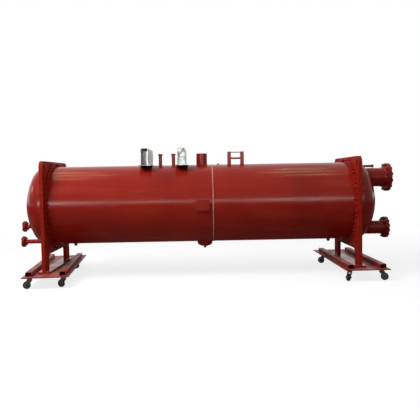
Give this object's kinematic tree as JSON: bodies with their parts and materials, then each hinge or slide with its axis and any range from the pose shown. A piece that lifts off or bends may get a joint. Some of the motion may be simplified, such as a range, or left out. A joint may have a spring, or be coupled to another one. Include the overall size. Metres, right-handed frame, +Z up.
{
  "type": "flooded evaporator on dollies",
  "caption": "Horizontal shell-and-tube chiller evaporator with dished water boxes and flanged nozzles, on two swivel-caster dollies.",
  "frame": {"origin": "on the floor, midway between the outermost flange faces along X and midway between the outermost deck edges along Y", "axes": "+X along the shell toward the large water nozzles, +Y away from the nameplate side, +Z up"},
  "size_m": [5.2908, 2.1106, 1.82],
  "materials": {
    "oxide_red_paint": "semi-gloss oxide red primer",
    "bare_steel": "bare, slightly dull",
    "zinc_steel": "dull zinc, soiled",
    "wheel_rubber": "matt black"
  },
  "bodies": {
    "vessel": {"shell_left": "oxide_red_paint", "shell_right": "oxide_red_paint", "tube_sheet_left": "oxide_red_paint", "tube_sheet_right": "oxide_red_paint", "foot_plate_left": "oxide_red_paint", "foot_plate_right": "oxide_red_paint", "head_ring_left": "oxide_red_paint", "head_ring_right": "oxide_red_paint", "dished_head_left": "oxide_red_paint", "dished_head_right": "oxide_red_paint", "water_nozzle_top": "oxide_red_paint", "water_nozzle_bottom": "oxide_red_paint", "blind_flange_top": "oxide_red_paint", "blind_flange_bottom": "oxide_red_paint", "small_nozzle_upper": "oxide_red_paint", "small_nozzle_lower": "oxide_red_paint", "small_blind_upper": "oxide_red_paint", "small_blind_lower": "oxide_red_paint", "vent_stub": "oxide_red_paint", "suction_nozzle": "oxide_red_paint", "top_stub_left": "oxide_red_paint", "top_stub_right": "oxide_red_paint", "top_posts": "oxide_red_paint", "support_frame_left": "bare_steel", "support_frame_right": "bare_steel", "nameplate_bracket": "oxide_red_paint", "oil_sump": "oxide_red_paint", "bosses": "oxide_red_paint", "left_dolly_deck": "oxide_red_paint", "left_dolly_rails": "oxide_red_paint", "left_dolly_caster_plates": "zinc_steel", "right_dolly_deck": "oxide_red_paint", "right_dolly_rails": "oxide_red_paint", "right_dolly_caster_plates": "zinc_steel"},
    "left_dolly_fork_front_left": {"left_dolly_fork_front_left": "zinc_steel"},
    "left_dolly_wheel_front_left": {"left_dolly_wheel_front_left": "wheel_rubber"},
    "left_dolly_fork_front_right": {"left_dolly_fork_front_right": "zinc_steel"},
    "left_dolly_wheel_front_right": {"left_dolly_wheel_front_right": "wheel_rubber"},
    "left_dolly_fork_back_left": {"left_dolly_fork_back_left": "zinc_steel"},
    "left_dolly_wheel_back_left": {"left_dolly_wheel_back_left": "wheel_rubber"},
    "left_dolly_fork_back_right": {"left_dolly_fork_back_right": "zinc_steel"},
    "left_dolly_wheel_back_right": {"left_dolly_wheel_back_right": "wheel_rubber"},
    "right_dolly_fork_front_left": {"right_dolly_fork_front_left": "zinc_steel"},
    "right_dolly_wheel_front_left": {"right_dolly_wheel_front_left": "wheel_rubber"},
    "right_dolly_fork_front_right": {"right_dolly_fork_front_right": "zinc_steel"},
    "right_dolly_wheel_front_right": {"right_dolly_wheel_front_right": "wheel_rubber"},
    "right_dolly_fork_back_left": {"right_dolly_fork_back_left": "zinc_steel"},
    "right_dolly_wheel_back_left": {"right_dolly_wheel_back_left": "wheel_rubber"},
    "right_dolly_fork_back_right": {"right_dolly_fork_back_right": "zinc_steel"},
    "right_dolly_wheel_back_right": {"right_dolly_wheel_back_right": "wheel_rubber"}
  },
  "joints": [
    {"name": "left_dolly_front_left_swivel", "type": "hinge", "parent": "vessel", "child": "left_dolly_fork_front_left", "pos_m": [-2.31672, -0.91842, 0.128], "axis": [0, 0, 1], "continuous": true},
    {"name": "left_dolly_front_left_roll", "type": "hinge", "parent": "left_dolly_fork_front_left", "child": "left_dolly_wheel_front_left", "pos_m": [-2.34824, -0.94305, 0.05], "axis": [0.6157, -0.788, 0], "continuous": true},
    {"name": "left_dolly_front_right_swivel", "type": "hinge", "parent": "vessel", "child": "left_dolly_fork_front_right", "pos_m": [-1.88856, -0.8787, 0.128], "axis": [0, 0, 1], "continuous": true},
    {"name": "left_dolly_front_right_roll", "type": "hinge", "parent": "left_dolly_fork_front_right", "child": "left_dolly_wheel_front_right", "pos_m": [-1.9232, -0.8587, 0.05], "axis": [-0.5, -0.866, 0], "continuous": true},
    {"name": "left_dolly_back_left_swivel", "type": "hinge", "parent": "vessel", "child": "left_dolly_fork_back_left", "pos_m": [-2.45343, 0.55525, 0.128], "axis": [0, 0, 1], "continuous": true},
    {"name": "left_dolly_back_left_roll", "type": "hinge", "parent": "left_dolly_fork_back_left", "child": "left_dolly_wheel_back_left", "pos_m": [-2.49282, 0.54831, 0.05], "axis": [0.1736, -0.9848, 0], "continuous": true},
    {"name": "left_dolly_back_right_swivel", "type": "hinge", "parent": "vessel", "child": "left_dolly_fork_back_right", "pos_m": [-2.02527, 0.59497, 0.128], "axis": [0, 0, 1], "continuous": true},
    {"name": "left_dolly_back_right_roll", "type": "hinge", "parent": "left_dolly_fork_back_right", "child": "left_dolly_wheel_back_right", "pos_m": [-2.0639, 0.60532, 0.05], "axis": [-0.2588, -0.9659, 0], "continuous": true},
    {"name": "right_dolly_front_left_swivel", "type": "hinge", "parent": "vessel", "child": "right_dolly_fork_front_left", "pos_m": [1.8946, -0.81912, 0.128], "axis": [0, 0, 1], "continuous": true},
    {"name": "right_dolly_front_left_roll", "type": "hinge", "parent": "right_dolly_fork_front_left", "child": "right_dolly_wheel_front_left", "pos_m": [1.86997, -0.85064, 0.05], "axis": [0.788, -0.6157, 0], "continuous": true},
    {"name": "right_dolly_front_right_swivel", "type": "hinge", "parent": "vessel", "child": "right_dolly_fork_front_right", "pos_m": [2.32458, -0.81537, 0.128], "axis": [0, 0, 1], "continuous": true},
    {"name": "right_dolly_front_right_roll", "type": "hinge", "parent": "right_dolly_fork_front_right", "child": "right_dolly_wheel_front_right", "pos_m": [2.35523, -0.84108, 0.05], "axis": [0.6428, 0.766, 0], "continuous": true},
    {"name": "right_dolly_back_left_swivel", "type": "hinge", "parent": "vessel", "child": "right_dolly_fork_back_left", "pos_m": [1.88169, 0.66082, 0.128], "axis": [0, 0, 1], "continuous": true},
    {"name": "right_dolly_back_left_roll", "type": "hinge", "parent": "right_dolly_fork_back_left", "child": "right_dolly_wheel_back_left", "pos_m": [1.84171, 0.66221, 0.05], "axis": [-0.0349, -0.9994, 0], "continuous": true},
    {"name": "right_dolly_back_right_swivel", "type": "hinge", "parent": "vessel", "child": "right_dolly_fork_back_right", "pos_m": [2.31167, 0.66457, 0.128], "axis": [0, 0, 1], "continuous": true},
    {"name": "right_dolly_back_right_roll", "type": "hinge", "parent": "right_dolly_fork_back_right", "child": "right_dolly_wheel_back_right", "pos_m": [2.27408, 0.65089, 0.05], "axis": [0.342, -0.9397, 0], "continuous": true}
  ]
}
